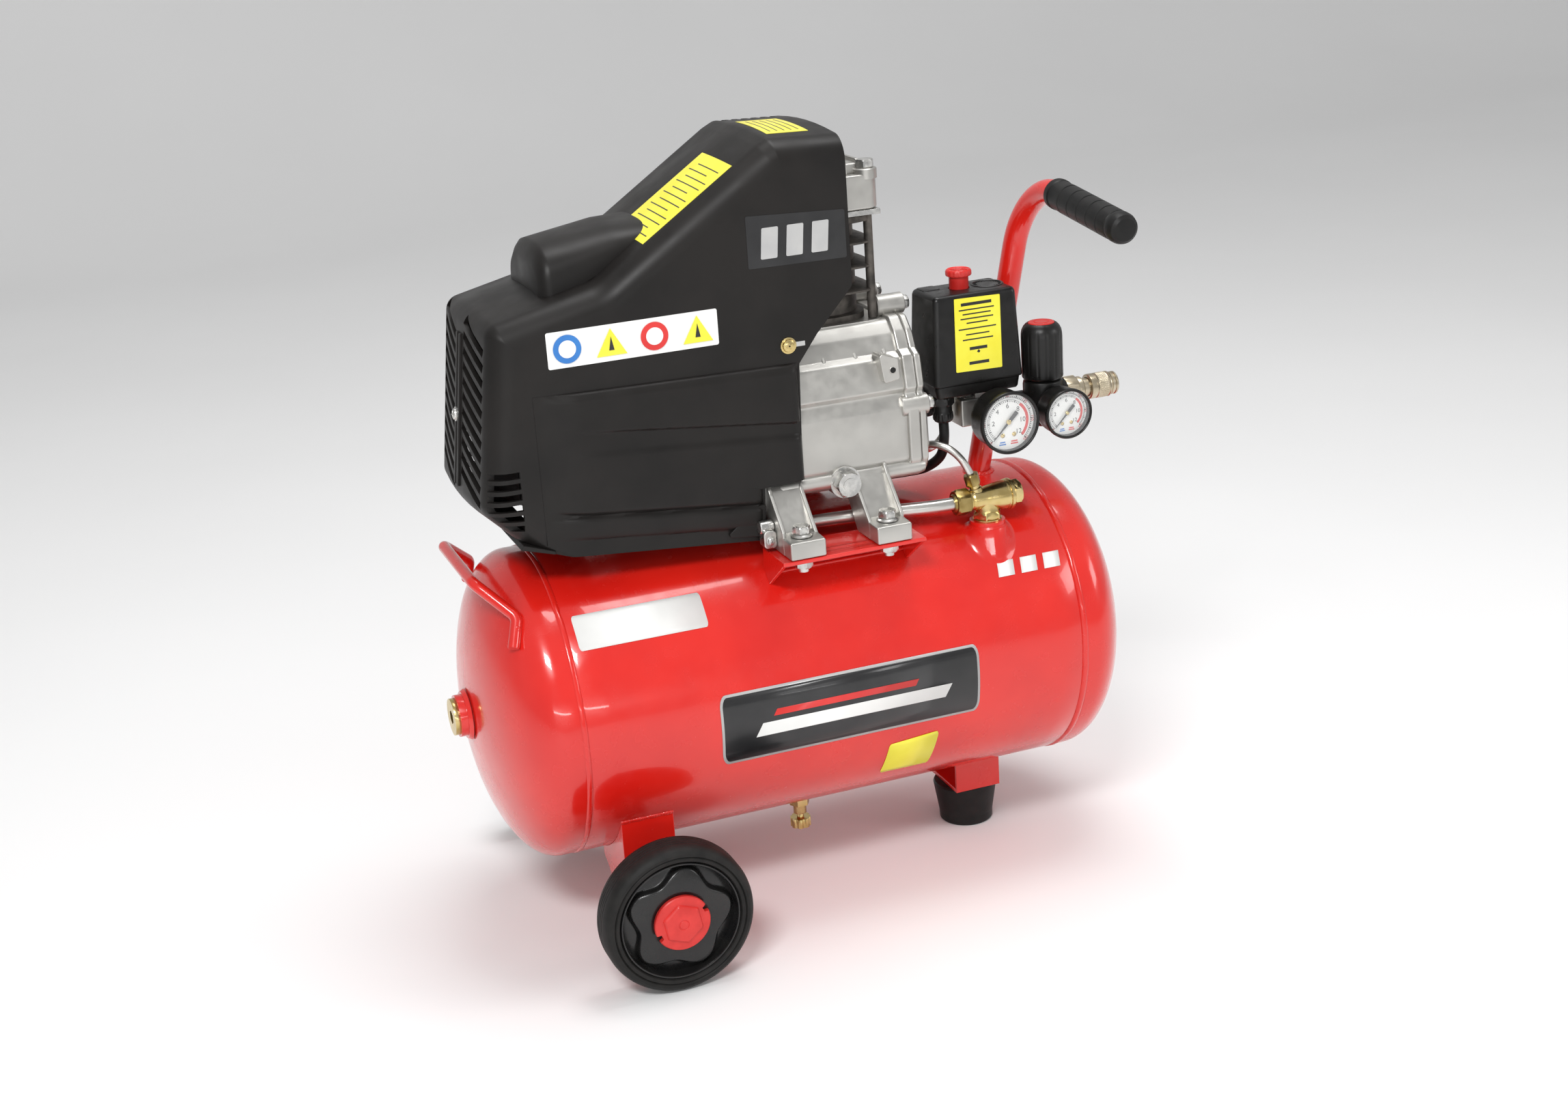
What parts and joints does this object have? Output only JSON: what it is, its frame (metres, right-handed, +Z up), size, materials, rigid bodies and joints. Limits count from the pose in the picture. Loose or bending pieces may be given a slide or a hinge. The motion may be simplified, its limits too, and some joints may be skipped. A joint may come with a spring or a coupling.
{
  "type": "air compressor",
  "caption": "Portable shrouded piston air compressor on a horizontal steel tank, with wheels, a rubber foot, a push-pull pressure switch, regulator, gauges and a quick coupler.",
  "frame": {"origin": "on the floor under the middle of the tank", "axes": "+X along the tank towards the handle end, -Y towards the gauge side, +Z up"},
  "size_m": [0.556, 0.356, 0.611],
  "materials": {
    "red_paint": "gloss",
    "black_shroud": "satin",
    "black_plastic": "satin",
    "black_rubber": "matte",
    "tyre_rubber": "matte",
    "cast_aluminium": "cast",
    "iron_fins": "rough",
    "brass": "machined",
    "zinc_steel": "zinc plated",
    "red_plastic": "gloss",
    "gauge_black": "gloss",
    "clear_lens": "clear",
    "grey_plastic": "satin"
  },
  "bodies": {
    "frame": {"tank_shell": "red_paint", "tank_heads": "red_paint", "tank_bosses": "red_paint", "inspection_plug": "brass", "drain_cock_body": "brass", "pump_brackets": "red_paint", "handle_tube": "red_paint", "handle_grip": "black_rubber", "tow_bail": "red_paint", "wheel_brackets": "red_paint", "chassis_bolts": "zinc_steel", "foot_bracket": "red_paint", "rubber_foot": "black_rubber", "crankcase": "cast_aluminium", "crankcase_cover": "cast_aluminium", "pump_bolts": "zinc_steel", "pump_cylinder": "iron_fins", "valve_plate": "zinc_steel", "cylinder_head": "cast_aluminium", "bearings": "zinc_steel", "stator": "iron_fins", "motor_end_bracket": "cast_aluminium", "capacitor": "grey_plastic", "shroud": "black_shroud", "shroud_screws": "brass", "air_filter": "black_plastic", "crankcase_plug": "zinc_steel", "mount_bolts": "zinc_steel", "delivery_pipe": "cast_aluminium", "pipe_nuts": "brass", "check_valve": "brass", "unloader_tube": "cast_aluminium", "manifold": "cast_aluminium", "safety_valve": "brass", "switch_base": "black_plastic", "switch_cover": "black_plastic", "cable_glands": "black_plastic", "motor_lead": "black_rubber", "regulator_body": "black_plastic", "gauge_cases": "gauge_black", "gauge_lenses": "clear_lens", "coupler_body": "brass"},
    "wheel_front": {"tyre_front": "tyre_rubber", "hub_front": "black_plastic", "cap_front": "red_plastic"},
    "wheel_rear": {"tyre_rear": "tyre_rubber", "hub_rear": "black_plastic", "cap_rear": "red_plastic"},
    "motor_rotating": {"crankshaft": "zinc_steel", "rotor": "iron_fins", "cooling_fan": "black_plastic"},
    "piston_assembly": {"piston": "cast_aluminium", "connecting_rod": "cast_aluminium"},
    "knob": {"switch_knob": "red_plastic"},
    "regulator": {"regulator_knob": "black_plastic"},
    "tank_needle": {"tank_gauge_needle": "gauge_black"},
    "outlet_needle": {"outlet_gauge_needle": "gauge_black"},
    "sleeve": {"coupler_sleeve": "brass"},
    "safety_ring": {"safety_pull": "zinc_steel"},
    "drain_screw": {"drain_cock_screw": "brass"}
  },
  "joints": [
    {"name": "wheel_front_spin", "type": "hinge", "parent": "frame", "child": "wheel_front", "pos_m": [-0.161, -0.157, 0.059], "axis": [0, 1, 0], "continuous": true},
    {"name": "wheel_rear_spin", "type": "hinge", "parent": "frame", "child": "wheel_rear", "pos_m": [-0.161, 0.157, 0.059], "axis": [0, 1, 0], "continuous": true},
    {"name": "motor_spin", "type": "hinge", "parent": "frame", "child": "motor_rotating", "pos_m": [-0.095, 0, 0.402], "axis": [1, 0, 0], "continuous": true},
    {"name": "piston_slide", "type": "slide", "parent": "frame", "child": "piston_assembly", "axis": [0, 0, 1], "range_m": [0, 0.036]},
    {"name": "knob_pull", "type": "slide", "parent": "frame", "child": "knob", "axis": [0, 0, 1], "range_m": [-0.006, 0]},
    {"name": "regulator_turn", "type": "hinge", "parent": "frame", "child": "regulator", "pos_m": [0.211, -0.052, 0.415], "axis": [0, 0, 1], "range_deg": [-360, 360]},
    {"name": "tank_needle_turn", "type": "hinge", "parent": "frame", "child": "tank_needle", "pos_m": [0.1625, -0.087, 0.3716], "axis": [0, 1, 0], "range_deg": [0, 270], "stiffness_Nm_per_rad": 0.001},
    {"name": "outlet_needle_turn", "type": "hinge", "parent": "frame", "child": "outlet_needle", "pos_m": [0.211, -0.092, 0.3724], "axis": [0, 1, 0], "range_deg": [0, 270], "stiffness_Nm_per_rad": 0.001},
    {"name": "sleeve_pull", "type": "slide", "parent": "frame", "child": "sleeve", "axis": [-1, 0, 0], "range_m": [0, 0.005], "stiffness_N_per_m": 600},
    {"name": "safety_ring_pull", "type": "slide", "parent": "frame", "child": "safety_ring", "axis": [0, 1, 0], "range_m": [0, 0.004], "stiffness_N_per_m": 800},
    {"name": "drain_turn", "type": "hinge", "parent": "frame", "child": "drain_screw", "pos_m": [0, 0, 0.035], "axis": [0, 0, 1], "range_deg": [0, 720]}
  ]
}
